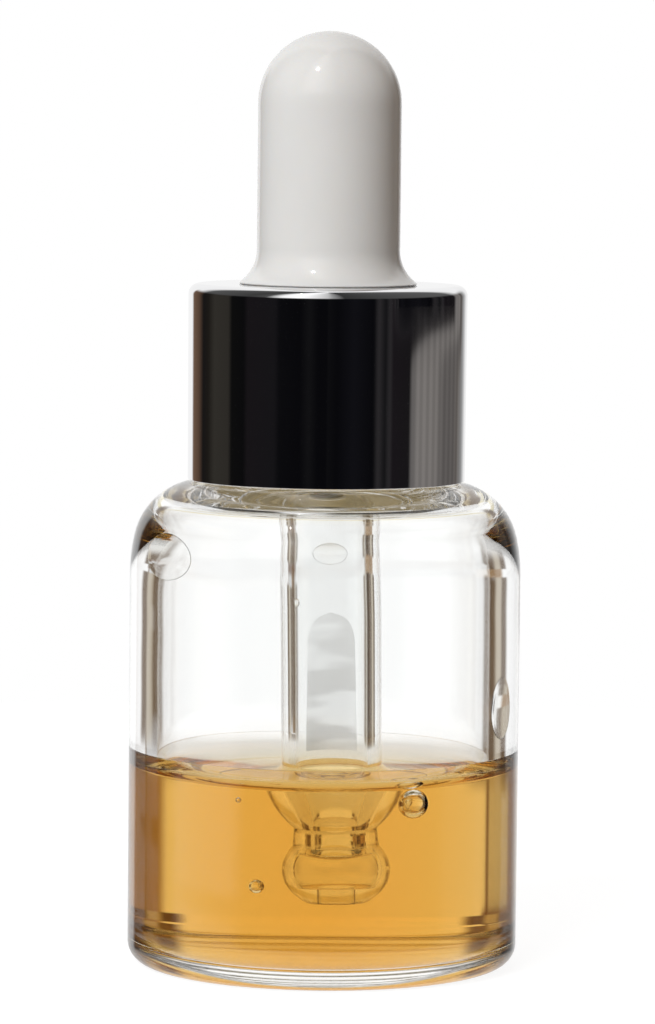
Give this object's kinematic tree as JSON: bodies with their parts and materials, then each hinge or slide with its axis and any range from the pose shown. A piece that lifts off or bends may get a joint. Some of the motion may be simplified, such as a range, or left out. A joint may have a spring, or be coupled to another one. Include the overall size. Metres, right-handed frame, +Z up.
{
  "type": "dropper bottle",
  "caption": "Small clear glass bottle of amber liquid with a screw-on medicine dropper: white rubber bulb, mirror-bright collar and glass pipette with a ball tip.",
  "frame": {"origin": "centre of the foot that the bottle stands on", "axes": "+Z up along the bottle's axis to the bulb; the threads start on the +X side"},
  "size_m": [0.028, 0.028, 0.0669],
  "materials": {
    "clear_glass": "clear, polished, thick-walled",
    "amber_liquid": "clear amber oil-like liquid",
    "pipette_glass": "clear, thin-walled",
    "white_rubber": "glossy off-white",
    "cap_plastic": "moulded, satin",
    "bright_metal": "mirror-bright, like chrome"
  },
  "bodies": {
    "base": {"bottle": "clear_glass", "liquid": "amber_liquid"},
    "dropper": {"pipette": "pipette_glass"},
    "closure": {"inner_cap": "cap_plastic", "collar": "bright_metal"},
    "teat": {"bulb": "white_rubber"}
  },
  "joints": [
    {"name": "dropper_rise", "type": "slide", "parent": "base", "child": "dropper", "axis": [0, 0, 1], "range_m": [0, 0.0418]},
    {"name": "cap_turn", "type": "hinge", "parent": "dropper", "child": "closure", "pos_m": [0, 0, 0.042], "axis": [0, 0, 1], "range_deg": [0, 4740]},
    {"name": "bulb_squeeze", "type": "slide", "parent": "closure", "child": "teat", "axis": [-1, 0, 0], "range_m": [0, 0.003], "stiffness_N_per_m": 150, "deforming": ["bulb"]}
  ],
  "couplings": [
    {"joint": "cap_turn", "follows": "dropper_rise", "rad_per_m": 1979}
  ]
}
